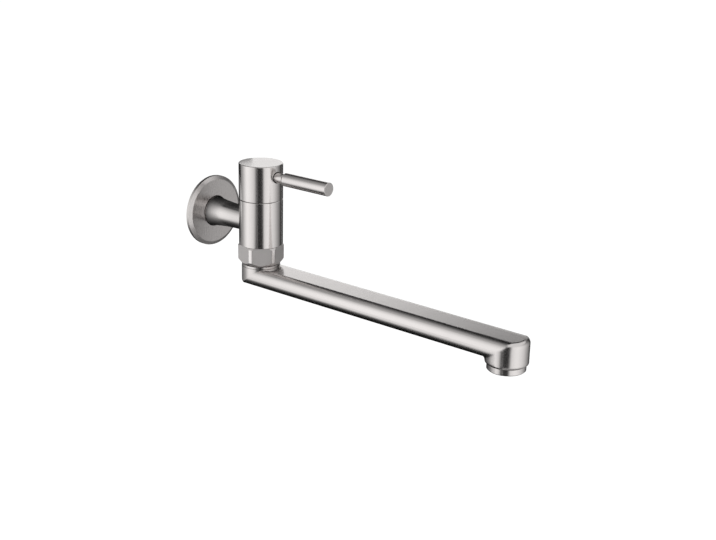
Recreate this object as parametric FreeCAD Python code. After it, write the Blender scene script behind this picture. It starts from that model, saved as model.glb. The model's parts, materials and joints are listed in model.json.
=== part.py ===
import FreeCAD, Part
import math
import os

# Wall-mounted single cold kitchen faucet with a swivelling flat spout.
# Millimetres. Origin on the inlet axis at the wall face, +Z up, the faucet stands out along -Y.

V = FreeCAD.Vector
UP = V(0, 0, 1)

# General fits
run_clear = 0.05        # radial play of a turning or screwed fit
seat_clear = 0.1        # play between parts that are slipped together
edge_break = 0.3        # small chamfer on turned edges

# Valve body and its water ways
axis_out = 63.5         # wall face to the vertical axis of the body
body_r = 20.0
duct_r = 5.5            # inlet duct inside the body
duct_web = 5.5          # metal between inlet duct and spout chamber
seat_rise = 0.5         # metal left over the duct under the cartridge seat
seat_hole_r = 4.8
body_below = 19.4       # inlet axis down to the shoulder above the union nut
spigot_thread_r = 18.0  # body thread that carries the union nut
drain_r = 2.1           # drillings from cartridge groove to spout chamber
drain_circle_r = 11.8
drain_angles = (180, 225, 270, 315, 360)
groove_r = 14.2         # relief groove round the cartridge windows
counterbore_r = 13.5
counterbore_depth = 2.0
guide_wall = 2.7        # upstand that guides the cap
guide_height = 4.5

# Inlet pipe
pipe_r = 11.0
pipe_bore_r = 5.5
pipe_flare_r = 13.7
pipe_flare_length = 37.0
pipe_spigot_r = 8.9
pipe_spigot_depth = 7.0
inlet_thread_r = 10.48  # G 1/2 major radius
inlet_thread_depth = 1.16
inlet_thread_pitch = 1.814
inlet_thread_out = 15.0  # length behind the wall face
inlet_shank_r = 10.3    # plain part that passes through the flange
strainer_r = 7.0
strainer_length = 5.0
strainer_in = 8.0       # pipe mouth to the strainer's rim
strainer_wall = 0.8

# Wall flange and its seals
flange_r = 33.0
flange_thick = 5.0
flange_rim = 3.1
flange_bevel = 3.3
flange_web = 1.1
gasket_r = 29.0
gasket_thick = 1.5
flange_gap = 0.6        # shadow gap between pipe flare and flange hole
ring_thick = 0.9

# Ceramic cartridge
housing_r = 9.0
housing_wall = 1.1
seal_stand = 1.0
seal_thick = 2.0
fixed_disc_thick = 3.0
moving_disc_thick = 2.5
disc_hole_in = 2.4
disc_hole_out = 6.2
disc_sector = 80.0
base_thick = 2.0
prong_width = 3.0
prong_depth = 1.2
roof_thick = 1.0
cartridge_thread_r = 10.48
cartridge_thread = 4.2
hex_flat = 22.0
hex_height = 3.5
stop_rim_height = 2.5
stop_rim_out = 9.0
stop_rim_in = 6.4
stop_tab = 24.0         # angle of the tab on the stop clip
stop_slack = 1.0
quarter_turn = 90.0
spindle_r = 4.5
spline_r = 4.0
spline_teeth = 20
spline_depth = 0.35
spline_length = 13.0
small_ring = 0.8        # section radius of the spindle and housing rings

# Handle cap and lever
seam_gap = 0.3
cap_height = 32.7
cap_wall = 3.0
cap_skirt = 10.7
cap_round = 0.8
bush_r = 8.0
bush_gap = 2.0
bush_length = 19.0
glide_height = 4.0
glide_wall = 0.8        # between the body's upstand and the cap
lever_drop = 10.6       # cap top down to the lever axis
stem_thread_r = 4.0
stem_thread_in = 10.0   # from the body axis to the inner end of the stem
stem_r = 4.6
stem_recess = 2.1
stem_seal_r = 5.2       # rubber ring in the recess round the stem
stem_seal_thick = 1.3
stem_length = 8.5       # cap surface to grip
stud_r = 3.0
stud_length = 20.0
grip_r = 6.06
grip_cone = 2.0
grip_length = 51.9
grip_chamfer = 0.5
screw_r = 2.5
screw_length = 6.0
screw_socket_flat = 2.5
screw_drop = 15.0       # cap top down to the screw axis

# Union nut and swivel joint
shoulder_gap = 0.2
nut_height = 17.0
nut_r = 20.85
nut_flat = 37.5
nut_turn = 45.5         # angle of one flat's normal from +X
nut_lip = 3.0
nut_top_chamfer = 1.4
nut_foot_in = 2.9
nut_foot_up = 3.3
neck_r = 14.0
neck_bore_r = 10.0
neck_gap = 0.8
collar_r = 17.5
collar_height = 2.4
pilot_r = 15.0
chamber_gap = 2.0
slip_thick = 1.0
slip_r = 17.2
snap_thick = 1.5
snap_r = 16.8
snap_groove = 1.2
snap_split = 40.0
end_gap = 0.5
neck_ring = 1.0         # section radius of the neck O-rings
neck_ring_drop = 5.0
neck_ring_step = 6.0

# Spout arm and outlet
spout_reach = 268.0     # body axis to outlet axis
arm_half = 17.7
arm_height = 17.4
arm_side_r = 8.0
arm_end_round = 4.0
arm_wall = 1.5
tip_drop = 4.5
tip_round = 1.6
tip_floor = 5.0
outlet_thread_r = 14.0  # M28 x 1
collar_wall = 0.85
collar_rim = 2.0
aerator_r = 15.9
aerator_height = 5.5
aerator_gap = 0.2
aerator_chamfer = 0.8
aerator_wall = 1.4
aerator_lip = 1.2
aerator_mouth_r = 11.6
washer_thick = 1.2
jet_r = 0.95
jet_step = 2.6
jet_rings = 4
gauze_thick = 0.5
gauze_hole_r = 0.6
gauze_step = 2.1
gauze_rings = 5
strainer_hole_r = 0.6
strainer_step = 1.75
strainer_rings = 3

# Heights that follow from the sizes above
seat_z = duct_r + seat_rise
housing_low = seat_z + seal_stand
fixed_low = seat_z + seal_thick
moving_low = fixed_low + fixed_disc_thick
base_low = moving_low + moving_disc_thick + seat_clear
roof_low = base_low + base_thick + seat_clear
thread_low = roof_low + roof_thick
flange_z = thread_low + cartridge_thread
body_top = flange_z + counterbore_depth
rim_low = flange_z + hex_height
rim_top = rim_low + stop_rim_height
groove_low = moving_low - 0.5 * seat_rise
groove_high = base_low + base_thick
cap_low = body_top + seam_gap
cap_top = cap_low + cap_height
lever_z = cap_top - lever_drop
screw_z = cap_top - screw_drop
bush_low = rim_top + bush_gap
spline_low = rim_top + 0.5 * bush_gap
spline_high = spline_low + spline_length

chamber_top = -(duct_r + duct_web)
neck_top = chamber_top - chamber_gap
nut_top = -body_below - shoulder_gap
nut_low = nut_top - nut_height
lip_top = nut_low + nut_lip
snap_low = lip_top + slip_thick + seat_clear
snap_high = snap_low + snap_thick
spigot_low = snap_high + end_gap
collar_top = nut_low - neck_gap
arm_top = collar_top - collar_height
arm_low = arm_top - arm_height
tip_low = arm_low - tip_drop
floor_top = tip_low + tip_floor
aerator_top = tip_low - aerator_gap
aerator_low = aerator_top - aerator_height
disc_r = housing_r - housing_wall - seat_clear


def edge_chain(points):
    """Edges through (r, h) points; an entry of two points is an arc through the first to the second."""
    ends = [p[1] if isinstance(p[0], tuple) else p for p in points]
    edges = []
    for i, entry in enumerate(points):
        start = V(ends[i - 1][0], 0, ends[i - 1][1])
        stop = V(ends[i][0], 0, ends[i][1])
        if isinstance(entry[0], tuple):
            edges.append(Part.Arc(start, V(entry[0][0], 0, entry[0][1]), stop).toShape())
        else:
            edges.append(Part.makeLine(start, stop))
    return edges


def lathe(points, centre, axis):
    """Solid turned from a closed (radius, height) outline about the axis through centre."""
    face = Part.Face(Part.Wire(edge_chain(points)))
    solid = face.revolve(V(0, 0, 0), UP, 360)
    solid.Placement = FreeCAD.Placement(centre, FreeCAD.Rotation(UP, axis))
    return solid


def on_body(points):
    """Turned about the vertical body axis; heights are z."""
    return lathe(points, V(0, -axis_out, 0), UP)


def on_inlet(points):
    """Turned about the inlet axis; heights are y."""
    return lathe(points, V(0, 0, 0), V(0, 1, 0))


def on_lever(points):
    """Turned about the lever axis; heights run outwards from the body axis."""
    return lathe(points, V(0, -axis_out, lever_z), V(0, -1, 0))


def on_outlet(points):
    """Turned about the outlet axis; heights are z."""
    return lathe(points, V(0, -axis_out - spout_reach, 0), UP)


def band(r_in, r_out, low, high):
    """Outline of a plain ring."""
    return [(r_in, low), (r_out, low), (r_out, high), (r_in, high)]


def quarter(r, h, size, r_sign, h_sign):
    """Arc entry that rounds an outer corner at (r, h), arriving along the height."""
    dr, dh = r_sign * size, h_sign * size
    bow = 1 - math.sqrt(0.5)
    return ((r - dr * bow, h - dh * bow), (r - dr, h))


def sector(r_in, r_out, low, high, mid_angle, width, centre):
    """Ring sector centred on mid_angle, in degrees, standing on centre."""
    ring = lathe(band(r_in, r_out, low, high), V(0, 0, 0), UP)
    half = math.radians(width / 2)
    far = 2 * r_out
    corners = [V(0, 0, low)]
    steps = 4
    for i in range(steps + 1):
        a = -half + 2 * half * i / steps
        corners.append(V(far * math.cos(a), far * math.sin(a), low))
    wedge = Part.Face(Part.makePolygon(corners + corners[:1])).extrude(V(0, 0, high - low))
    piece = ring.common(wedge)
    piece.rotate(V(0, 0, 0), UP, mid_angle)
    piece.translate(centre)
    return piece


def torus_ring(r_mid, r_section, z, centre):
    return Part.makeTorus(r_mid, r_section, V(centre.x, centre.y, z), UP)


def hexagon(flat, low, high, turn, centre, axis=UP):
    """Hexagonal prism with the given size across flats; turn is the angle of one flat's normal."""
    r = flat / 2 / math.cos(math.radians(30))
    corners = []
    for i in range(7):
        a = math.radians(turn + 30 + 60 * i)
        corners.append(V(r * math.cos(a), r * math.sin(a), low))
    prism = Part.Face(Part.makePolygon(corners)).extrude(V(0, 0, high - low))
    prism.Placement = FreeCAD.Placement(centre, FreeCAD.Rotation(UP, axis))
    return prism


def jets(hole_r, step, rings, start, end, centre, axis=UP):
    """Round holes in concentric rings, as tools to cut with."""
    tools = []
    for k in range(rings + 1):
        count = max(1, 6 * k)
        for i in range(count):
            a = 2 * math.pi * i / count
            foot = V(k * step * math.cos(a), k * step * math.sin(a), start)
            tools.append(Part.makeCylinder(hole_r, end - start, foot, UP))
    group = Part.makeCompound(tools)
    group.Placement = FreeCAD.Placement(centre, FreeCAD.Rotation(UP, axis))
    return group


BODY = V(0, -axis_out, 0)
OUTLET = V(0, -axis_out - spout_reach, 0)


# Fixed parts

def valve_body():
    spigot_r = spigot_thread_r - run_clear
    guide_out = body_r - cap_wall - seat_clear - glide_wall
    guide_in = guide_out - guide_wall
    outside = [
        (0, spigot_low), (spigot_r - edge_break, spigot_low), (spigot_r, spigot_low + edge_break),
        (spigot_r, -body_below), (body_r - edge_break, -body_below), (body_r, -body_below + edge_break),
        (body_r, body_top - edge_break), (body_r - edge_break, body_top), (guide_out, body_top),
        (guide_out, body_top + guide_height), (guide_in, body_top + guide_height),
        (guide_in, body_top), (0, body_top),
    ]
    bore_r = housing_r + seat_clear
    inside = [
        (0, seat_z), (bore_r, seat_z), (bore_r, groove_low), (groove_r, groove_low),
        (groove_r, groove_high), (bore_r, groove_high), (bore_r, thread_low),
        (cartridge_thread_r, thread_low), (cartridge_thread_r, flange_z), (counterbore_r, flange_z),
        (counterbore_r, body_top), (guide_in, body_top + guide_height), (0, body_top + guide_height),
    ]
    solid = on_body(outside).cut(on_body(inside))
    chamber_r = neck_r + run_clear
    solid = solid.cut(on_body([(0, spigot_low), (chamber_r, spigot_low), (chamber_r, chamber_top),
                               (0, chamber_top)]))
    for angle in drain_angles:
        a = math.radians(angle)
        foot = BODY + V(drain_circle_r * math.cos(a), drain_circle_r * math.sin(a), chamber_top)
        solid = solid.cut(Part.makeCylinder(drain_r, groove_low - chamber_top, foot, UP))
    solid = solid.cut(Part.makeCylinder(seat_hole_r, seat_z, BODY, UP))
    duct_end = BODY - V(0, duct_r, 0)
    solid = solid.cut(Part.makeCylinder(duct_r, body_r + duct_r, duct_end, V(0, 1, 0)))
    socket = BODY + V(0, body_r - pipe_spigot_depth, 0)
    return solid.cut(Part.makeCylinder(pipe_spigot_r, 2 * pipe_spigot_depth, socket, V(0, 1, 0)))


def glide_ring():
    outer = body_r - cap_wall - seat_clear
    inner = outer - glide_wall
    return on_body(band(inner, outer, body_top, body_top + glide_height))


def inlet_pipe():
    flange_face = -flange_thick
    shoulder = -(gasket_thick + flange_web + ring_thick)
    flare_start = flange_face - pipe_flare_length
    rise = pipe_flare_r - pipe_r
    bend = (rise ** 2 + pipe_flare_length ** 2) / (2 * rise)
    half = math.asin(pipe_flare_length / bend) / 2
    mid = (pipe_r + bend * (1 - math.cos(half)), flare_start + bend * math.sin(half))
    thread_root = inlet_thread_r - inlet_thread_depth
    land = inlet_thread_pitch / 6
    flank = inlet_thread_pitch / 3
    outline = [(pipe_bore_r, -axis_out), (pipe_r, -axis_out), (pipe_r, flare_start),
               (mid, (pipe_flare_r, flange_face)), (pipe_flare_r, shoulder)]
    outline += [(inlet_shank_r, shoulder), (inlet_shank_r, 0), (inlet_thread_r, 0)]
    y = land
    while y + inlet_thread_pitch + flank < inlet_thread_out:
        outline += [(inlet_thread_r, y), (thread_root, y + flank), (thread_root, y + flank + land),
                    (inlet_thread_r, y + 2 * flank + land)]
        y += inlet_thread_pitch
    outline += [(inlet_thread_r, y), (thread_root, inlet_thread_out)]
    counterbore = inlet_thread_out - strainer_in - strainer_length
    outline += [(strainer_r + run_clear, inlet_thread_out), (strainer_r + run_clear, counterbore),
                (pipe_bore_r, counterbore)]
    pipe = on_inlet(outline)
    pipe = pipe.cut(on_body(band(0, body_r, -2 * pipe_r, 2 * pipe_r)))
    spigot_start = -axis_out + body_r - pipe_spigot_depth
    spigot_end = -axis_out + body_r + pipe_spigot_depth
    spigot = on_inlet(band(pipe_bore_r, pipe_spigot_r - run_clear, spigot_start, spigot_end))
    return pipe.fuse(spigot).removeSplitter()


def inlet_strainer():
    high = inlet_thread_out - strainer_in
    low = high - strainer_length
    inner = strainer_r - strainer_wall
    cup = on_inlet([(0, low), (strainer_r, low), (strainer_r, high), (inner, high),
                    (inner, low + strainer_wall), (0, low + strainer_wall)])
    return cup.cut(jets(strainer_hole_r, strainer_step, strainer_rings, low - 1,
                        low + strainer_wall + 1, V(0, 0, 0), V(0, 1, 0)))


def wall_flange():
    ring_face = -(gasket_thick + flange_web)
    hole_r = pipe_flare_r + flange_gap
    stud_hole = inlet_thread_r + seat_clear
    face = -flange_thick
    bevel_r = flange_r - flange_bevel
    soft = edge_break
    return on_inlet([
        (gasket_r, 0), (flange_r - soft, 0), (flange_r, -soft), (flange_r, -flange_rim),
        (bevel_r + 0.3 * soft, face + 0.3 * soft), (bevel_r - soft, face), (hole_r + soft, face),
        (hole_r, face + soft), (hole_r, ring_face), (stud_hole, ring_face), (stud_hole, -gasket_thick),
        (gasket_r, -gasket_thick),
    ])


def flange_ring():
    low = -(gasket_thick + flange_web)
    r_out = pipe_flare_r + flange_gap - seat_clear
    return on_inlet(band(inlet_thread_r + seat_clear, r_out, low - ring_thick, low))


def wall_gasket():
    return on_inlet(band(inlet_thread_r + seat_clear, gasket_r - seat_clear, -gasket_thick, 0))


def union_nut():
    blank = on_body([
        (0, nut_low), (nut_r - nut_foot_in, nut_low), (nut_r, nut_low + nut_foot_up),
        (nut_r, nut_top - nut_top_chamfer), (nut_r - nut_top_chamfer, nut_top), (0, nut_top),
    ])
    blank = blank.common(hexagon(nut_flat, nut_low, nut_top, nut_turn, BODY))
    lip_r = neck_r + 3 * seat_clear
    return blank.cut(on_body([
        (0, nut_low), (lip_r, nut_low), (lip_r, lip_top), (spigot_thread_r, lip_top),
        (spigot_thread_r, nut_top), (0, nut_top),
    ]))


def slip_washer():
    return on_body(band(neck_r + 3 * seat_clear, slip_r, lip_top, lip_top + slip_thick))


# Cartridge

def cartridge_housing():
    inner = housing_r - housing_wall
    thread = cartridge_thread_r - run_clear
    stem_hole = spindle_r + run_clear
    outline = [
        (inner, housing_low), (housing_r, housing_low), (housing_r, thread_low),
        (thread, thread_low), (thread, flange_z), (stop_rim_out, flange_z),
        (stop_rim_out, rim_top), (stop_rim_in, rim_top), (stop_rim_in, rim_low),
        (stem_hole, rim_low), (stem_hole, roof_low), (inner, roof_low),
    ]
    solid = on_body(outline)
    hexa = hexagon(hex_flat, flange_z, rim_low, 0, BODY)
    solid = solid.fuse(hexa.cut(on_body(band(0, stop_rim_in, flange_z, rim_low)))).removeSplitter()
    groove_mid = thread + small_ring
    solid = solid.cut(torus_ring(groove_mid, small_ring, flange_z, BODY))
    window_low = moving_low
    for side in (0, 180):
        solid = solid.cut(sector(inner - 1, housing_r + 1, window_low, roof_low, side, disc_sector, BODY))
    travel = quarter_turn + stop_tab + 2 * stop_slack
    middle = -90 + quarter_turn / 2
    return solid.cut(sector(stop_rim_in - 1, stop_rim_out + 1, rim_low, rim_top, middle, travel, BODY))


def housing_o_ring():
    """Rubber ring between the cartridge head and the body, in the counterbore corner."""
    thread = cartridge_thread_r - run_clear
    groove_mid = thread + small_ring
    ring = torus_ring(groove_mid, small_ring, flange_z, BODY)
    return ring.common(on_body(band(0, 2 * body_r, flange_z, rim_low)))


def seat_seal():
    return on_body(band(seat_hole_r + seat_clear, disc_r, seat_z, seat_z + seal_thick))


def fixed_disc():
    disc = on_body(band(0, disc_r, fixed_low, moving_low))
    for side in (0, 180):
        disc = disc.cut(sector(disc_hole_in, disc_hole_out, fixed_low, moving_low, side,
                               disc_sector, BODY))
    return disc


def moving_disc():
    top = moving_low + moving_disc_thick
    disc = on_body(band(0, disc_r, moving_low, top))
    for side in (90, 270):
        disc = disc.cut(sector(disc_hole_in, disc_r + 1, moving_low, top, side, disc_sector, BODY))
    for side in (0, 180):
        disc = disc.cut(prong(side, seat_clear))
    return disc


def prong(side, play):
    """Block at the edge of the moving disc, where the spindle drives it."""
    top = moving_low + moving_disc_thick
    inner = disc_r - prong_depth - play
    block = Part.makeBox(prong_depth + play + 1, prong_width + 2 * play, top - moving_low,
                         V(inner, -prong_width / 2 - play, moving_low))
    block.rotate(V(0, 0, 0), UP, side)
    block.translate(BODY)
    return block


def cartridge_spindle():
    groove_r_in = spindle_r - small_ring - run_clear
    ring_mid = (roof_low + rim_low) / 2
    gap = 2.4 * small_ring
    outline = [(0, base_low), (disc_r, base_low), (disc_r, base_low + base_thick),
               (spindle_r, base_low + base_thick)]
    for centre in (ring_mid - gap, ring_mid + gap):
        outline += [(spindle_r, centre - small_ring), (groove_r_in - small_ring, centre - small_ring),
                    (groove_r_in - small_ring, centre + small_ring), (spindle_r, centre + small_ring)]
    clip_low = rim_low + seat_clear
    clip_high = rim_top - 3 * seat_clear
    outline += [(spindle_r, clip_low), (spline_r, clip_low), (spline_r, clip_high),
                (spindle_r, clip_high), (spindle_r, spline_low), (spline_r, spline_low),
                (spline_r, spline_high - edge_break), (spline_r - edge_break, spline_high),
                (0, spline_high)]
    spindle = on_body(outline)
    for side in (0, 180):
        inner = disc_r - prong_depth
        block = prong(side, 0).common(on_body(band(0, disc_r, moving_low, base_low)))
        lift = Part.makeBox(disc_r - inner, prong_width, base_low - moving_low,
                            V(inner, -prong_width / 2, moving_low))
        lift.rotate(V(0, 0, 0), UP, side)
        lift.translate(BODY)
        spindle = spindle.fuse(block.fuse(lift.common(on_body(band(0, disc_r, moving_low, base_low)))))
    spindle = spindle.removeSplitter()
    teeth = []
    for i in range(spline_teeth):
        a = 2 * math.pi * i / spline_teeth
        foot = V(spline_r * math.cos(a), spline_r * math.sin(a), spline_low) + BODY
        teeth.append(Part.makeCylinder(spline_depth, spline_length, foot, UP))
    return spindle.cut(Part.makeCompound(teeth))


def spindle_o_rings():
    r_mid = spindle_r - small_ring
    ring_mid = (roof_low + rim_low) / 2
    gap = 2.4 * small_ring
    return Part.makeCompound([torus_ring(r_mid, small_ring, ring_mid + s * gap, BODY) for s in (-1, 1)])


def stop_clip():
    low = rim_low + seat_clear
    high = rim_top - 3 * seat_clear
    inner = spline_r + run_clear
    ring = on_body(band(inner, stop_rim_in - 3 * seat_clear, low, high))
    tab = sector(inner, stop_rim_out - seat_clear, low, high, -90, stop_tab, BODY)
    mouth = sector(inner - 1, stop_rim_in, low, high, 90, 2.5 * stop_tab, BODY)
    return ring.fuse(tab).removeSplitter().cut(mouth)


# Handle

def handle_cap():
    inner = body_r - cap_wall
    cavity_top = cap_low + cap_skirt
    hole_top = bush_low + bush_length + 2 * seat_clear
    cap = on_body([
        (inner, cap_low), (body_r - edge_break, cap_low), (body_r, cap_low + edge_break),
        (body_r, cap_top - cap_round), quarter(body_r, cap_top, cap_round, 1, 1),
        (0, cap_top), (0, hole_top), (bush_r, hole_top), (bush_r, cavity_top), (inner, cavity_top),
    ])
    stem_hole = on_lever([
        (0, stem_thread_in - 2 * seat_clear), (stem_thread_r + run_clear, stem_thread_in - 2 * seat_clear),
        (stem_thread_r + run_clear, body_r - stem_recess),
        (stem_seal_r + run_clear, body_r - stem_recess), (stem_seal_r + run_clear, 2 * body_r),
        (0, 2 * body_r),
    ])
    screw_hole = Part.makeCylinder(screw_r + run_clear, 2 * body_r, BODY + V(0, 0, screw_z), V(0, 1, 0))
    return cap.cut(stem_hole).cut(screw_hole)


def spline_bush():
    outer = bush_r - run_clear
    top = bush_low + bush_length
    bore = spline_r + run_clear
    return on_body([
        (bore, bush_low), (outer - edge_break, bush_low), (outer, bush_low + edge_break), (outer, top),
        (0, top), (0, spline_high + 5 * seat_clear), (bore, spline_high + 5 * seat_clear),
    ])


def cap_set_screw():
    start = bush_r
    centre = BODY + V(0, 0, screw_z)
    screw = lathe([(0, start), (screw_r - edge_break, start), (screw_r, start + edge_break),
                   (screw_r, start + screw_length - edge_break),
                   (screw_r - edge_break, start + screw_length), (0, start + screw_length)],
                  centre, V(0, 1, 0))
    half = start + screw_length / 2
    return screw.cut(hexagon(screw_socket_flat, half, start + screw_length, 0, centre, V(0, 1, 0)))


def lever_stem():
    step = body_r - stem_recess
    grip_start = body_r + stem_length
    return on_lever([
        (0, stem_thread_in), (stem_thread_r - edge_break, stem_thread_in),
        (stem_thread_r, stem_thread_in + edge_break), (stem_thread_r, step), (stem_r, step),
        (stem_r, grip_start), (stud_r, grip_start), (stud_r, grip_start + stud_length),
        (0, grip_start + stud_length),
    ])


def stem_seal():
    floor = body_r - stem_recess
    return on_lever(band(stem_r + run_clear, stem_seal_r, floor, floor + stem_seal_thick))


def lever_grip():
    start = body_r + stem_length
    end = start + grip_length
    bore = stud_r + run_clear
    bore_end = start + stud_length + 5 * seat_clear
    return on_lever([
        (bore, start), (stem_r, start), (grip_r, start + grip_cone), (grip_r, end - grip_chamfer),
        quarter(grip_r, end, grip_chamfer, 1, 1), (0, end), (0, bore_end), (bore, bore_end),
    ])


# Swivel joint and spout

def ring_heights():
    """Mid heights of the two O-rings on the neck."""
    first = neck_top - neck_ring_drop
    return (first, first - neck_ring_step)


def spout_neck():
    pilot_low = arm_top - arm_wall - 2 * seat_clear
    groove = neck_r - 2 * neck_ring
    snap_r_in = neck_r - snap_groove
    outline = [
        (neck_bore_r, pilot_low), (pilot_r - run_clear, pilot_low), (pilot_r - run_clear, arm_top),
        (collar_r - edge_break, arm_top), (collar_r, arm_top + edge_break),
        (collar_r, collar_top - edge_break), (collar_r - edge_break, collar_top),
        (neck_r, collar_top), (neck_r, snap_low), (snap_r_in, snap_low), (snap_r_in, snap_high),
        (neck_r, snap_high),
    ]
    for z in reversed(ring_heights()):
        outline += [(neck_r, z - neck_ring - seat_clear), (groove, z - neck_ring - seat_clear),
                    (groove, z + neck_ring + seat_clear), (neck_r, z + neck_ring + seat_clear)]
    outline += [(neck_r, neck_top - edge_break), (neck_r - edge_break, neck_top), (neck_bore_r, neck_top)]
    return on_body(outline)


def neck_o_rings():
    return Part.makeCompound([torus_ring(neck_r - neck_ring, neck_ring, z, BODY) for z in ring_heights()])


def snap_ring():
    inner = neck_r - snap_groove + run_clear
    ring = on_body(band(inner, snap_r, snap_low, snap_high))
    return ring.cut(sector(inner - 1, snap_r + 1, snap_low, snap_high, 90, snap_split, BODY))


def spout_form(inset, low_z):
    """Flat-topped round-sided arm with a round post at the root and a round drop at the tip."""
    half = arm_half - inset
    side = arm_side_r - inset
    top = arm_top - inset
    low = arm_low + inset
    flat = half - side
    bow = side * math.sqrt(0.5)
    y0 = -axis_out + 2 * arm_half
    y1 = -axis_out - spout_reach - 2 * arm_half

    def at(x, z):
        return V(x, y0, z)

    def corner(sx, sz, z_mid):
        """Quarter round from the side to the flat, or back, at one corner."""
        return V(sx * (flat + bow), y0, z_mid + sz * bow)

    z_hi = top - side
    z_lo = low + side
    edges = [
        Part.makeLine(at(-flat, top), at(flat, top)),
        Part.Arc(at(flat, top), corner(1, 1, z_hi), at(half, z_hi)).toShape(),
        Part.makeLine(at(half, z_hi), at(half, z_lo)),
        Part.Arc(at(half, z_lo), corner(1, -1, z_lo), at(flat, low)).toShape(),
        Part.makeLine(at(flat, low), at(-flat, low)),
        Part.Arc(at(-flat, low), corner(-1, -1, z_lo), at(-half, z_lo)).toShape(),
        Part.makeLine(at(-half, z_lo), at(-half, z_hi)),
        Part.Arc(at(-half, z_hi), corner(-1, 1, z_hi), at(-flat, top)).toShape(),
    ]
    bar = Part.Face(Part.Wire(edges)).extrude(V(0, y1 - y0, 0))
    root_y = -axis_out
    tip_y = -axis_out - spout_reach
    plan = [
        Part.makeLine(V(half, root_y, low), V(half, tip_y, low)),
        Part.Arc(V(half, tip_y, low), V(0, tip_y - half, low), V(-half, tip_y, low)).toShape(),
        Part.makeLine(V(-half, tip_y, low), V(-half, root_y, low)),
        Part.Arc(V(-half, root_y, low), V(0, root_y + half, low), V(half, root_y, low)).toShape(),
    ]
    slab = Part.Face(Part.Wire(plan)).extrude(V(0, 0, top - low))
    level = [e for e in slab.Edges if e.BoundBox.ZLength < 1e-6]
    slab = slab.makeFillet(arm_end_round - inset, level)
    arm = slab.common(bar).removeSplitter()
    drop = Part.makeCylinder(half, z_hi - low_z, OUTLET + V(0, 0, low_z), UP)
    post = Part.makeCylinder(half, top - z_lo, BODY + V(0, 0, z_lo), UP)
    return arm.fuse([drop, post]).removeSplitter()


def spout_arm():
    solid = spout_form(0, tip_low)
    foot = [e for e in solid.Edges if e.BoundBox.ZMax < tip_low + 1e-3]
    solid = solid.makeFillet(tip_round, foot)
    solid = solid.cut(spout_form(arm_wall, floor_top))
    solid = solid.cut(Part.makeCylinder(pilot_r, 2 * arm_wall, BODY + V(0, 0, arm_top - arm_wall), UP))
    hole_r = outlet_thread_r + run_clear + collar_wall
    return solid.cut(Part.makeCylinder(hole_r, tip_floor, OUTLET + V(0, 0, tip_low), UP))


def outlet_collar():
    thread = outlet_thread_r + run_clear
    outer = thread + collar_wall - run_clear
    rim_r = arm_half - arm_wall - seat_clear
    shelf = floor_top - seat_clear
    return on_outlet([
        (thread, tip_low), (outer, tip_low), (outer, floor_top), (rim_r, floor_top),
        (rim_r, floor_top + collar_rim), (outlet_thread_r - aerator_wall, floor_top + collar_rim),
        (outlet_thread_r - aerator_wall, shelf), (thread, shelf),
    ])


def aerator_washer():
    top = floor_top - 2 * seat_clear
    return on_outlet(band(outlet_thread_r - aerator_wall, outlet_thread_r - run_clear,
                          top - washer_thick, top))


def aerator_shell():
    spigot_top = floor_top - 3 * seat_clear - washer_thick
    inner = outlet_thread_r - aerator_wall
    return on_outlet([
        (aerator_mouth_r, aerator_low), (aerator_r - aerator_chamfer, aerator_low),
        (aerator_r, aerator_low + aerator_chamfer), (aerator_r, aerator_top - edge_break),
        (aerator_r - edge_break, aerator_top), (outlet_thread_r, aerator_top),
        (outlet_thread_r, spigot_top), (inner, spigot_top),
        (inner, aerator_low + aerator_lip), (aerator_mouth_r, aerator_low + aerator_lip),
    ])


def insert_heights():
    low = aerator_low + aerator_lip
    top = floor_top - 3 * seat_clear - washer_thick - gauze_thick
    return low, top


def aerator_insert():
    low, top = insert_heights()
    body = on_outlet(band(0, outlet_thread_r - aerator_wall - seat_clear, low, top))
    return body.cut(jets(jet_r, jet_step, jet_rings, low - 1, top + 1, OUTLET))


def aerator_gauze():
    low, top = insert_heights()
    disc = on_outlet(band(0, outlet_thread_r - aerator_wall - seat_clear, top, top + gauze_thick))
    return disc.cut(jets(gauze_hole_r, gauze_step, gauze_rings, top - 1, top + gauze_thick + 1, OUTLET))


PIECES = (
    valve_body, inlet_pipe, inlet_strainer, wall_flange, flange_ring, wall_gasket, union_nut,
    slip_washer, glide_ring, cartridge_housing, housing_o_ring, seat_seal, fixed_disc,
    moving_disc, cartridge_spindle, spindle_o_rings, stop_clip, handle_cap, spline_bush,
    cap_set_screw, lever_stem, stem_seal, lever_grip, spout_neck, neck_o_rings, snap_ring,
    spout_arm, outlet_collar, aerator_washer, aerator_shell, aerator_insert, aerator_gauze,
)

os.makedirs("parts", exist_ok=True)
for make in PIECES:
    shape = make()
    shape.exportStep("parts/" + make.__name__ + ".step")
    print(make.__name__, "solids", len(shape.Solids), "valid", shape.isValid(),
          "volume", round(shape.Volume, 1))
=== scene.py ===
import json
import math

import bpy
from mathutils import Matrix, Vector


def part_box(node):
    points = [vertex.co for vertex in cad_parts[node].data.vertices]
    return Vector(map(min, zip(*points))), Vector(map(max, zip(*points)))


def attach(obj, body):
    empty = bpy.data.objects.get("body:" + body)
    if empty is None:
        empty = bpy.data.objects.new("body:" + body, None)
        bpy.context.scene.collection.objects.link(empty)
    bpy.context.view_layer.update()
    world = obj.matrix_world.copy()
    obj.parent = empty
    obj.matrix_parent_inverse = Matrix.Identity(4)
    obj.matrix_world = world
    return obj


# Wall-mounted kitchen faucet in brushed steel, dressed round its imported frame.
# Metres, in the frame of the part: +Z up, origin at the wall on the inlet axis, spout along -Y.

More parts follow.
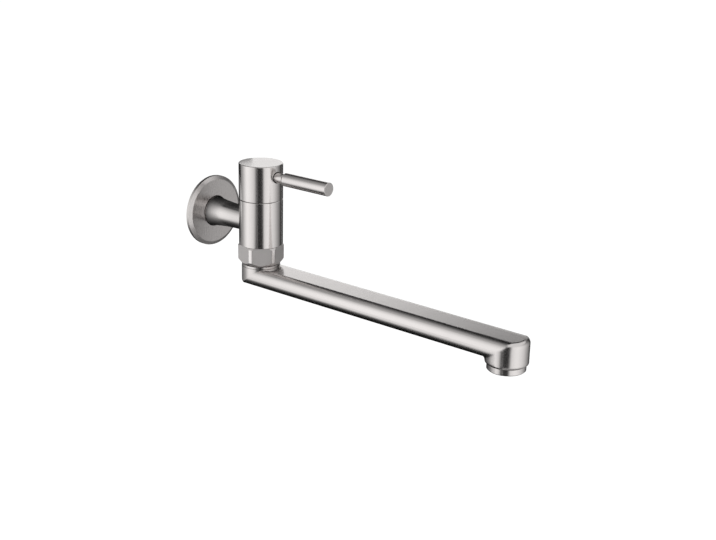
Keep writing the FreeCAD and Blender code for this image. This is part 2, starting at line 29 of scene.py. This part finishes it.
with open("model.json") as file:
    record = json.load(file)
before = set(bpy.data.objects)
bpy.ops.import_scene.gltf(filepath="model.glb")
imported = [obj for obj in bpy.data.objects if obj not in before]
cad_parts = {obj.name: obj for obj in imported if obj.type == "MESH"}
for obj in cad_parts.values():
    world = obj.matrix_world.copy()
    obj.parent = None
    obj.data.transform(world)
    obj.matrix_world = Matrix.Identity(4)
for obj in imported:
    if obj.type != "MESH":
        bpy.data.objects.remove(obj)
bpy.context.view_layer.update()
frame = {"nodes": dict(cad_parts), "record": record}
nodes = frame["nodes"]

MM = 0.001


def middle(name):
    low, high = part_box(name)
    return (low + high) / 2


OUTLET_AXIS = middle("aerator_shell")   # the vertical axis of the spout's tip
NUT_AXIS = middle("union_nut")


# Node helpers

# Places of a Mix node's sockets, whose names are the same for colours and vectors
COLOUR_A, COLOUR_B, COLOUR_RESULT = 6, 7, 2
VECTOR_A, VECTOR_B, VECTOR_RESULT = 4, 5, 1
NOISE_LOW, NOISE_HIGH = 0.3, 0.7        # noise mostly lies between these


def new_material(name):
    """A node material with only its Principled shader and output; returns material, nodes, links, shader."""
    material = bpy.data.materials.new(name)
    material.use_nodes = True
    tree = material.node_tree
    return material, tree.nodes, tree.links, tree.nodes["Principled BSDF"]


def bare_material(name):
    """A node material without nodes; returns material, nodes, links."""
    material, tree_nodes, links, _ = new_material(name)
    tree_nodes.clear()
    return material, tree_nodes, links


def math_node(tree_nodes, links, operation, *values):
    """One Math node; each input is a socket or a plain number."""
    node = tree_nodes.new("ShaderNodeMath")
    node.operation = operation
    for slot, value in zip(node.inputs, values):
        if isinstance(value, (int, float)):
            slot.default_value = value
        else:
            links.new(value, slot)
    return node.outputs[0]


def stretched(tree_nodes, links, stretch):
    """Object coordinates multiplied along each axis, so noise runs out into lines."""
    place = tree_nodes.new("ShaderNodeTexCoord")
    scale = tree_nodes.new("ShaderNodeMapping")
    scale.inputs["Scale"].default_value = stretch
    links.new(place.outputs["Object"], scale.inputs["Vector"])
    return scale.outputs["Vector"]


def noise(tree_nodes, links, vector, scale, detail, rough=0.5):
    texture = tree_nodes.new("ShaderNodeTexNoise")
    texture.inputs["Scale"].default_value = scale
    texture.inputs["Detail"].default_value = detail
    texture.inputs["Roughness"].default_value = rough
    links.new(vector, texture.inputs["Vector"])
    return texture.outputs["Fac"]


def spread(tree_nodes, links, value, low, high, start=NOISE_LOW, end=NOISE_HIGH, soft=False):
    """Value from start to end mapped to low to high, and held there beyond; soft eases in and out."""
    remap = tree_nodes.new("ShaderNodeMapRange")
    if soft:
        remap.interpolation_type = "SMOOTHSTEP"
    remap.inputs["From Min"].default_value = start
    remap.inputs["From Max"].default_value = end
    remap.inputs["To Min"].default_value = low
    remap.inputs["To Max"].default_value = high
    links.new(value, remap.inputs["Value"])
    return remap.outputs["Result"]


def mixed_colour(tree_nodes, links, fac, dark, light):
    mix = tree_nodes.new("ShaderNodeMix")
    mix.data_type = "RGBA"
    mix.inputs[COLOUR_A].default_value = (*dark, 1)
    mix.inputs[COLOUR_B].default_value = (*light, 1)
    links.new(fac, mix.inputs[0])
    return mix.outputs[COLOUR_RESULT]


def bumped(tree_nodes, links, height, strength, depth, normal=None):
    """Normal with the height drawn into it, over another normal if one is given."""
    bump = tree_nodes.new("ShaderNodeBump")
    bump.inputs["Strength"].default_value = strength
    bump.inputs["Distance"].default_value = depth
    links.new(height, bump.inputs["Height"])
    if normal is not None:
        links.new(normal, bump.inputs["Normal"])
    return bump.outputs["Normal"]


def shade(colour, factor):
    return tuple(min(1.0, c * factor) for c in colour)


# Materials

STEEL = (0.60, 0.575, 0.565)
NUT_STEEL = (0.68, 0.655, 0.645)        # the nut is ground coarser and shows paler
FINE, SLOW = 5200.0, 90.0               # brush lines across and along, per metre
ROUND_Z = (SLOW, SLOW, FINE)            # turned about a vertical axis
ROUND_Y = (SLOW, FINE, SLOW)            # turned about an axis along Y
ALONG_Y = (FINE, SLOW, FINE)            # brushed lengthwise
UPRIGHT = (FINE, FINE, SLOW)            # brushed up and down
EVEN = (1, 1, 1)
LINE_SHARE, CLOUD_SHARE = 0.65, 0.35    # of the brush lines and of the cloudiness in the tint
CLOUD_SCALE = 55.0
SURFACE_DEPTH = 0.02 * MM               # of brush lines and of the grain of moulded pieces

SOFT_EDGE_R = 3.0 * MM                  # rounding that the tip's upper edge is shaded with
SOFT_FROM, SOFT_TO = 26 * MM, 12 * MM   # from the outlet's axis, where that shading begins and is full

NUT_CORNER_R = 20.85 * MM               # the nut's turned corners lie this far from its axis
CORNER_FADE = (0.12 * MM, 0.04 * MM)    # inside that radius, where their smoothness begins and is full
CORNER_ROUGHNESS = 0.4                  # as a share of the flats' roughness


def blended_normal(tree_nodes, links, radius, start_y, end_y):
    """Surface normal, with the edges shaded as rounded past end_y and left as they are before start_y."""
    place = tree_nodes.new("ShaderNodeTexCoord")
    parts = tree_nodes.new("ShaderNodeSeparateXYZ")
    links.new(place.outputs["Object"], parts.inputs[0])
    plain = tree_nodes.new("ShaderNodeNewGeometry")
    rounded = tree_nodes.new("ShaderNodeBevel")
    rounded.samples = 8
    rounded.inputs["Radius"].default_value = radius
    mix = tree_nodes.new("ShaderNodeMix")
    mix.data_type = "VECTOR"
    links.new(spread(tree_nodes, links, parts.outputs["Y"], 0, 1, start_y, end_y, soft=True), mix.inputs[0])
    links.new(plain.outputs["Normal"], mix.inputs[VECTOR_A])
    links.new(rounded.outputs["Normal"], mix.inputs[VECTOR_B])
    return mix.outputs[VECTOR_RESULT]


def corner_roughness(tree_nodes, links, rough):
    """Roughness of the nut, less at its turned corners than on its ground flats."""
    place = tree_nodes.new("ShaderNodeTexCoord")
    level = tree_nodes.new("ShaderNodeVectorMath")
    level.operation = "MULTIPLY_ADD"
    level.inputs[1].default_value = (1, 1, 0)
    level.inputs[2].default_value = (0, -NUT_AXIS.y, 0)
    links.new(place.outputs["Object"], level.inputs[0])
    length = tree_nodes.new("ShaderNodeVectorMath")
    length.operation = "LENGTH"
    links.new(level.outputs[0], length.inputs[0])
    share = spread(tree_nodes, links, length.outputs["Value"], 1.0, CORNER_ROUGHNESS,
                   NUT_CORNER_R - CORNER_FADE[0], NUT_CORNER_R - CORNER_FADE[1])
    return math_node(tree_nodes, links, "MULTIPLY", rough, share)


def brushed(name, colour, roughness, stretch, grain=1.0, contrast=0.04, smear=0,
            soft_tip=False, nut=False):
    """Brushed metal: fine lines along the axis with the smallest stretch, and slight cloudiness.

    smear draws the reflections out across upright brush lines, soft_tip shades the tip's upper edge as
    rounded, and nut makes the nut's corners smoother.
    """
    material, tree_nodes, links, shader = new_material(name)
    lines = noise(tree_nodes, links, stretched(tree_nodes, links, stretch), 1.0, 3.0, 0.6)
    clouds = noise(tree_nodes, links, stretched(tree_nodes, links, EVEN), CLOUD_SCALE, 2.0)
    clouds = math_node(tree_nodes, links, "MULTIPLY", clouds, CLOUD_SHARE)
    both = math_node(tree_nodes, links, "MULTIPLY_ADD", lines, LINE_SHARE, clouds)
    tint = spread(tree_nodes, links, both, 0.0, 1.0)
    mixed = mixed_colour(tree_nodes, links, tint, shade(colour, 1 - contrast), shade(colour, 1 + contrast))
    links.new(mixed, shader.inputs["Base Color"])
    shader.inputs["Metallic"].default_value = 1.0
    rough = spread(tree_nodes, links, both, roughness * 0.85, roughness * 1.2)
    if nut:
        rough = corner_roughness(tree_nodes, links, rough)
    links.new(rough, shader.inputs["Roughness"])
    if smear:
        shader.inputs["Anisotropic"].default_value = smear
        tangent = tree_nodes.new("ShaderNodeTangent")
        tangent.direction_type = "RADIAL"
        tangent.axis = "Z"
        links.new(tangent.outputs["Tangent"], shader.inputs["Tangent"])
    normal = None
    if soft_tip:
        start_y, end_y = OUTLET_AXIS.y + SOFT_FROM, OUTLET_AXIS.y + SOFT_TO
        normal = blended_normal(tree_nodes, links, SOFT_EDGE_R, start_y, end_y)
    normal = bumped(tree_nodes, links, lines, 0.25 * grain, SURFACE_DEPTH, normal)
    links.new(normal, shader.inputs["Normal"])
    return material


def moulded(name, colour, roughness, speckle=0.05, scale=900.0):
    """Rubber, plastic or ceramic: even colour with fine mottling and a soft surface texture."""
    material, tree_nodes, links, shader = new_material(name)
    grain = noise(tree_nodes, links, stretched(tree_nodes, links, EVEN), scale, 4.0)
    tint = spread(tree_nodes, links, grain, 0.0, 1.0)
    mixed = mixed_colour(tree_nodes, links, tint, shade(colour, 1 - speckle), shade(colour, 1 + speckle))
    links.new(mixed, shader.inputs["Base Color"])
    rough = spread(tree_nodes, links, grain, roughness * 0.85, roughness * 1.15)
    links.new(rough, shader.inputs["Roughness"])
    links.new(bumped(tree_nodes, links, grain, 0.3, SURFACE_DEPTH), shader.inputs["Normal"])
    return material


MATERIALS = {
    "body_steel": brushed("body_steel", STEEL, 0.16, ROUND_Z),
    "cap_steel": brushed("cap_steel", STEEL, 0.17, ROUND_Z),
    "nut_steel": brushed("nut_steel", NUT_STEEL, 0.50, ROUND_Z, grain=1.6, nut=True),
    "pipe_steel": brushed("pipe_steel", STEEL, 0.18, ROUND_Y),
    "flange_steel": brushed("flange_steel", STEEL, 0.28, UPRIGHT, grain=1.4, contrast=0.07, smear=0.75),
    "lever_steel": brushed("lever_steel", STEEL, 0.17, ROUND_Y),
    "spout_steel": brushed("spout_steel", STEEL, 0.19, ALONG_Y, soft_tip=True),
    "aerator_steel": brushed("aerator_steel", STEEL, 0.18, ROUND_Z),
    "fine_steel": brushed("fine_steel", (0.62, 0.61, 0.60), 0.18, ROUND_Z),
    "screw_steel": brushed("screw_steel", (0.10, 0.10, 0.105), 0.40, ROUND_Y),
    "valve_brass": brushed("valve_brass", (0.76, 0.58, 0.30), 0.28, ROUND_Z),
    "disc_ceramic": moulded("disc_ceramic", (0.84, 0.83, 0.80), 0.25, speckle=0.02),
    "black_rubber": moulded("black_rubber", (0.018, 0.018, 0.020), 0.55, speckle=0.2),
    "grey_rubber": moulded("grey_rubber", (0.12, 0.12, 0.125), 0.65, speckle=0.12),
    "white_acetal": moulded("white_acetal", (0.80, 0.80, 0.78), 0.42, speckle=0.02),
    "insert_acetal": moulded("insert_acetal", (0.30, 0.31, 0.32), 0.45),
}

for part in frame["record"]["subparts"]:
    mesh = nodes[part["node"]].data
    mesh.materials.clear()
    mesh.materials.append(MATERIALS[part["material_slot"]])


# Weld fillet under the spout's tip

TIP_DROP = 4.5 * MM                     # how far the outlet's foot reaches below the arm
TIP_ROUND = 1.6 * MM                    # rounding of the foot's lower rim
SPOUT_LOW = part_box("spout_arm")[0].z
TIP_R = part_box("spout_arm")[1].x        # round wall of the foot, also half the arm's width
ARM_LOW = SPOUT_LOW + TIP_DROP
WALL_LOW = SPOUT_LOW + TIP_ROUND        # lowest straight part of the foot's wall
SIDE_R = 8.0 * MM                       # rounding of the arm's lower edges
FLAT_HALF = TIP_R - SIDE_R              # half the flat strip between them
ARC_Z = ARM_LOW + SIDE_R                # height of the centres of those roundings
FILLET_LARGEST, FILLET_SMALLEST = 3.2 * MM, 0.4 * MM
FILLET_FADE_FROM = 0.6                  # share of the way to the arm's sides where it starts to run out
FILLET_FADE = 9.0 * MM                  # how fast its radius falls from there, over the whole way
FILLET_SUNK = 0.15 * MM                 # how far its hidden corner lies inside the metal
FILLET_SWEEP = 89                       # degrees to each side; at 90 its two walls would meet


def ball_radius(beside):
    """Radius of the ball that touches the arm and the lowest straight part of the wall there.

    beside is 0 in the middle of the arm's underside and 1 at its sides.
    """
    ball = ARM_LOW - WALL_LOW
    if (TIP_R + ball) * beside > FLAT_HALF:
        past = TIP_R * beside - FLAT_HALF
        a = 1 - beside ** 2
        b = 2 * (SIDE_R - past * beside)
        c = SIDE_R ** 2 - past ** 2 - (ARC_Z - WALL_LOW) ** 2
        ball = -2 * c / (b + math.sqrt(b * b - 4 * a * c))
    largest = FILLET_LARGEST - FILLET_FADE * max(0.0, beside - FILLET_FADE_FROM)
    return min(ball, max(FILLET_SMALLEST, largest))


def tip_fillet():
    """Concave fillet between the arm's rounded underside and the round wall of the outlet's foot."""
    around, steps = 72, 10
    corners, faces = [], []
    for i in range(around + 1):
        turn = math.radians(FILLET_SWEEP) * (2 * i / around - 1)
        out = Vector((math.sin(turn), math.cos(turn), 0))
        ball = ball_radius(abs(out.x))
        centre = Vector((0, OUTLET_AXIS.y, 0)) + out * (TIP_R + ball)
        past = max(0.0, abs(centre.x) - FLAT_HALF)
        centre.z = ARC_Z - math.sqrt(max(0.0, (SIDE_R + ball) ** 2 - past ** 2))
        up = Vector((math.copysign(past, -out.x), 0, ARC_Z - centre.z)).normalized()
        for j in range(steps + 1):
            corners.append(centre + (-out).slerp(up, j / steps, up) * ball)
        hidden = Vector((0, OUTLET_AXIS.y, 0)) + out * (TIP_R - FILLET_SUNK)
        past = max(0.0, abs(hidden.x) - FLAT_HALF)
        hidden.z = ARC_Z - math.sqrt(SIDE_R ** 2 - past ** 2) + FILLET_SUNK
        corners.append(hidden)
    ring = steps + 2
    for i in range(around):
        for j in range(ring):
            k = (j + 1) % ring
            faces.append((i * ring + j, i * ring + k, (i + 1) * ring + k, (i + 1) * ring + j))
    mesh = bpy.data.meshes.new("tip_weld_fillet")
    mesh.from_pydata(corners, [], faces)
    mesh.materials.append(brushed("fillet_steel", STEEL, 0.19, ALONG_Y))
    for face in mesh.polygons:
        face.use_smooth = face.index % ring < steps
    piece = bpy.data.objects.new("tip_weld_fillet", mesh)
    bpy.context.scene.collection.objects.link(piece)
    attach(piece, "spout")


tip_fillet()


# Studio

STUDIO_CENTRE = Vector((0.0, -0.15, -0.01))
LAMP_DISTANCE = 1.5
CARD_RADIUS = 1.25
FLOOR_DROP = 1.35
FLOOR_HALF = 40.0


def direction(azimuth, elevation):
    """Unit vector; azimuths are anticlockwise from +X, and the camera stands at about 219 degrees."""
    a, e = math.radians(azimuth), math.radians(elevation)
    return Vector((math.cos(a) * math.cos(e), math.sin(a) * math.cos(e), math.sin(e)))


def facing(azimuth, elevation, distance):
    """Matrix of a lamp at that place, looking at the studio's centre, its width level."""
    away = direction(azimuth, elevation)
    side = Vector((0, 0, 1)).cross(away).normalized()
    rise = away.cross(side)
    turn = Matrix((side, rise, away)).transposed().to_4x4()
    return Matrix.Translation(STUDIO_CENTRE + away * distance) @ turn


def softbox(name, azimuth, elevation, size, level):
    """Square area lamp for the matt pieces; level is its radiance. The metal sees the cards instead."""
    lamp = bpy.data.lights.new(name, "AREA")
    lamp.shape = "SQUARE"
    lamp.size = size
    lamp.energy = level * math.pi * size * size
    holder = bpy.data.objects.new(name, lamp)
    bpy.context.scene.collection.objects.link(holder)
    holder.matrix_world = facing(azimuth, elevation, LAMP_DISTANCE)
    holder.visible_camera = False
    holder.visible_glossy = False


softbox("softbox_left", 150, 25, 1.2, 2.6)
softbox("softbox_right", 268, 30, 1.2, 2.6)
softbox("softbox_back", 30, 40, 1.0, 1.6)


def stage_mesh(name, corners, faces, material, reflections_only=True):
    """Piece of the studio, by default seen only in reflections."""
    mesh = bpy.data.meshes.new(name)
    mesh.from_pydata(corners, [], faces)
    mesh.materials.append(material)
    obj = bpy.data.objects.new(name, mesh)
    bpy.context.scene.collection.objects.link(obj)
    if reflections_only:
        obj.visible_camera = False
        obj.visible_diffuse = False
        obj.visible_shadow = False
    return obj


def emission(tree_nodes, links, level):
    """White emission; level is a socket or a plain number."""
    glow = tree_nodes.new("ShaderNodeEmission")
    glow.inputs["Color"].default_value = (1, 1, 1, 1)
    if isinstance(level, (int, float)):
        glow.inputs["Strength"].default_value = level
    else:
        links.new(level, glow.inputs["Strength"])
    return glow.outputs[0]


def to_output(tree_nodes, links, shader, kind="ShaderNodeOutputMaterial"):
    links.new(shader, tree_nodes.new(kind).inputs[0])


def ramp(tree_nodes, links, value, stops, top):
    """Value from 0 to 1 across the stops' places, turned into the share of top that they give there."""
    node = tree_nodes.new("ShaderNodeValToRGB")
    elements = node.color_ramp.elements
    while len(elements) < len(stops):
        elements.new(0.5)
    first, last = stops[0][0], stops[-1][0]
    for element, (place, level) in zip(elements, stops):
        element.position = (place - first) / (last - first)
    for element, (place, level) in zip(elements, stops):
        share = level / top
        element.color = (share, share, share, 1)
    links.new(value, node.inputs["Fac"])
    return node.outputs["Color"]


def card_material(name, across, up, fade=None):
    """Glow whose level follows the stops across, times the share that the stops up give.

    With fade, it turns clear towards its borders over those two widths, in the stops' units. Without, only
    its back glows, and it is clear from the front.
    """
    material, tree_nodes, links = bare_material(name)
    grid = tree_nodes.new("ShaderNodeTexCoord")
    parts = tree_nodes.new("ShaderNodeSeparateXYZ")
    links.new(grid.outputs["UV"], parts.inputs[0])
    top = max(level for _, level in across)
    level = ramp(tree_nodes, links, parts.outputs["X"], across, top)
    share = ramp(tree_nodes, links, parts.outputs["Y"], up, 1)
    level = math_node(tree_nodes, links, "MULTIPLY", level, share)
    level = math_node(tree_nodes, links, "MULTIPLY", level, top)
    if fade:
        covers = []
        for axis, stops, width in (("X", across, fade[0]), ("Y", up, fade[1])):
            inward = math_node(tree_nodes, links, "PINGPONG", parts.outputs[axis], 0.5)
            reach = width / (stops[-1][0] - stops[0][0])
            covers.append(spread(tree_nodes, links, inward, 0, 1, 0, reach, soft=True))
        cover = math_node(tree_nodes, links, "MULTIPLY", *covers)
    else:
        cover = tree_nodes.new("ShaderNodeNewGeometry").outputs["Backfacing"]
    mixed = tree_nodes.new("ShaderNodeMixShader")
    links.new(cover, mixed.inputs[0])
    links.new(tree_nodes.new("ShaderNodeBsdfTransparent").outputs[0], mixed.inputs[1])
    links.new(emission(tree_nodes, links, level), mixed.inputs[2])
    to_output(tree_nodes, links, mixed.outputs[0])
    return material


def card_grid(name, columns, rows, place, material):
    """Curved card; place(u, v) gives the point at a share u of its width and v of its height."""
    shares = [(i / columns, j / rows) for j in range(rows + 1) for i in range(columns + 1)]
    wide = columns + 1
    faces = [(j * wide + i, j * wide + i + 1, (j + 1) * wide + i + 1, (j + 1) * wide + i)
             for j in range(rows) for i in range(columns)]
    obj = stage_mesh(name, [place(u, v) for u, v in shares], faces, material)
    layer = obj.data.uv_layers.new(name="UVMap")
    for loop in obj.data.loops:
        layer.data[loop.index].uv = shares[loop.vertex_index]


def card(name, across, up, nearer=0.0, fade=(8, 8)):
    """Card on the sphere round the studio's centre, or nearer to it.

    across lists (azimuth, level), with 1 as white; up lists (elevation, share of that level).
    """
    (left, _), (right, _) = across[0], across[-1]
    (low, _), (high, _) = up[0], up[-1]

    def place(u, v):
        toward = direction(left + u * (right - left), low + v * (high - low))
        return STUDIO_CENTRE + toward * (CARD_RADIUS - nearer)

    card_grid(name, 48, 24, place, card_material(name, across, up, fade))


# The studio as it shows in the steel: a soft light on the left and one on the right, the dark gap between
# them where the camera stands, dark beyond them, a dimmer floor and a low bright strip behind.
card("card_left",
     ((4, 0.02), (56, 0.06), (76, 0.16), (92, 0.3), (108, 0.46), (118, 0.66), (126, 0.95), (134, 1.22),
      (144, 1.44), (154, 1.38), (164, 1.28), (174, 1.14), (180, 1.04), (185, 0.92), (190, 0.7), (194, 0.28),
      (198, 0.04), (204, 0.03)),
     ((-76, 0.02), (-54, 0.02), (-48, 0.05), (-42, 0.12), (-36, 0.24), (-30, 0.46), (-24, 0.8), (-18, 0.95),
      (-10, 1.0), (12, 1.0), (24, 0.92), (36, 0.8), (48, 0.66), (60, 0.42), (70, 0.28), (80, 0.22)))
card("card_low_left",
     ((152, 1.3), (164, 1.24), (174, 1.08), (182, 0.8), (187, 0.4), (191, 0.08), (197, 0.03)),
     ((-52, 0.8), (-36, 1.0), (-14, 1.0)), nearer=0.05, fade=(4, 6))
card("card_high_left",
     ((44, 0.06), (60, 0.13), (76, 0.22), (92, 0.34), (108, 0.48), (124, 0.6), (136, 0.66)),
     ((44, 1.1), (60, 1.0), (78, 0.8)), nearer=0.05, fade=(8, 7))
card("card_right",
     ((196, 0.03), (222, 0.04), (228, 0.06), (231, 0.18), (235, 0.72), (240, 1.1), (248, 1.2), (262, 1.32),
      (272, 1.26), (284, 1.15), (292, 1.04), (300, 0.92), (308, 0.76), (316, 0.6), (326, 0.44), (336, 0.28),
      (346, 0.12), (356, 0.02), (370, 0.02)),
     ((-40, 0.8), (-20, 1.0), (10, 1.0), (36, 0.8)))
card("card_below",
     ((-8, 0.3), (90, 0.3), (196, 0.62), (232, 0.62), (290, 0.5), (330, 0.45), (352, 0.3)),
     ((-88, 0.1), (-72, 0.25), (-60, 0.45), (-48, 0.72), (-36, 1.0), (-28, 1.0)), nearer=-0.04, fade=(1, 6))
card("card_behind",
     ((2, 0.3), (12, 0.4), (20, 0.62), (28, 0.85), (36, 1.1), (44, 1.15), (62, 1.15)),
     ((-8, 1.0), (24, 1.0)), nearer=0.05, fade=(6, 3))


def flange_card():
    """Ring close before the flange, whose glowing back shows in the pipe, right up to the flange.

    around lists (angle about the pipe from +X towards +Z, level); outward lists (radius, share of it).
    """
    flange_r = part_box("wall_flange")[1].x
    before_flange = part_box("wall_flange")[0].y - 0.3 * MM
    around = ((0, 0.05), (72, 0.06), (100, 0.12), (120, 0.36), (140, 0.78), (158, 1.1), (176, 1.18),
              (196, 0.8), (214, 0.42), (232, 0.18), (250, 0.07), (360, 0.05))
    outward = ((14.0 * MM, 0.12), (18.5 * MM, 0.35), (25.0 * MM, 0.66), (flange_r, 1.0))
    inner_r = outward[0][0]

    def place(u, v):
        angle = 2 * math.pi * u
        radius = inner_r + (flange_r - inner_r) * v
        return (radius * math.cos(angle), before_flange, radius * math.sin(angle))

    card_grid("card_flange", 72, 8, place, card_material("card_flange", around, outward))


flange_card()


def dark_panel():
    """Panel close behind the flange, where the wall would be, which darkens the top of the pipe."""
    behind_wall, left, right, low, high = 0.02, -0.03, 0.075, -0.03, 0.08
    corners = [(left, behind_wall, low), (right, behind_wall, low), (right, behind_wall, high),
               (left, behind_wall, high)]
    material, tree_nodes, links = bare_material("dark_panel")
    to_output(tree_nodes, links, emission(tree_nodes, links, 0.03))
    stage_mesh("dark_panel", corners, [(0, 1, 2, 3)], material)


dark_panel()


def seen_directly(tree_nodes, links):
    """1 for camera, glossy and transmission rays, 0 for the rest."""
    path = tree_nodes.new("ShaderNodeLightPath").outputs
    seen = math_node(tree_nodes, links, "MAXIMUM", path["Is Camera Ray"], path["Is Glossy Ray"])
    return math_node(tree_nodes, links, "MAXIMUM", seen, path["Is Transmission Ray"])


def pale_floor():
    """Wide matt floor that keeps the shadow, with a glow that makes it white directly and in reflections."""
    material, tree_nodes, links = bare_material("floor_pale")
    matt = tree_nodes.new("ShaderNodeBsdfDiffuse")
    matt.inputs["Color"].default_value = (0.85, 0.85, 0.85, 1)
    strength = math_node(tree_nodes, links, "MULTIPLY", seen_directly(tree_nodes, links), 0.58)
    total = tree_nodes.new("ShaderNodeAddShader")
    links.new(matt.outputs[0], total.inputs[0])
    links.new(emission(tree_nodes, links, strength), total.inputs[1])
    to_output(tree_nodes, links, total.outputs[0])
    corners = [(x * FLOOR_HALF, y * FLOOR_HALF, -FLOOR_DROP)
               for x, y in ((-1, -1), (1, -1), (1, 1), (-1, 1))]
    stage_mesh("floor", corners, [(0, 1, 2, 3)], material, reflections_only=False)


def pale_world():
    """White directly and in reflections, and a dimmer even light on matt pieces."""
    world = bpy.data.worlds.new("studio")
    bpy.context.scene.world = world
    world.use_nodes = True
    tree_nodes, links = world.node_tree.nodes, world.node_tree.links
    tree_nodes.clear()
    sky = tree_nodes.new("ShaderNodeBackground")
    sky.inputs["Color"].default_value = (1, 1, 1, 1)
    level = spread(tree_nodes, links, seen_directly(tree_nodes, links), 0.55, 1.0, 0, 1)
    links.new(level, sky.inputs["Strength"])
    to_output(tree_nodes, links, sky.outputs[0], "ShaderNodeOutputWorld")


pale_floor()
pale_world()


# Camera, as fitted to the photograph

CAMERA_PLACE = Vector((-0.7616, -0.7906, 0.3037))
CAMERA_HEADING, CAMERA_PITCH, CAMERA_ROLL = 51.19, 18.30, -1.41   # degrees; heading from +Y towards +X
FOCAL_PIXELS, FRAME_WIDTH = 1200, 716

camera_data = bpy.data.cameras.new("camera")
camera_data.sensor_width = 36.0
camera_data.lens = camera_data.sensor_width * FOCAL_PIXELS / FRAME_WIDTH
camera_data.clip_start, camera_data.clip_end = 0.05, 100.0
camera = bpy.data.objects.new("camera", camera_data)
bpy.context.scene.collection.objects.link(camera)
camera.matrix_world = (Matrix.Translation(CAMERA_PLACE)
                       @ Matrix.Rotation(math.radians(-CAMERA_HEADING), 4, "Z")
                       @ Matrix.Rotation(math.radians(90 - CAMERA_PITCH), 4, "X")
                       @ Matrix.Rotation(math.radians(-CAMERA_ROLL), 4, "Z"))
bpy.context.scene.camera = camera
bpy.context.scene.view_settings.view_transform = "Standard"
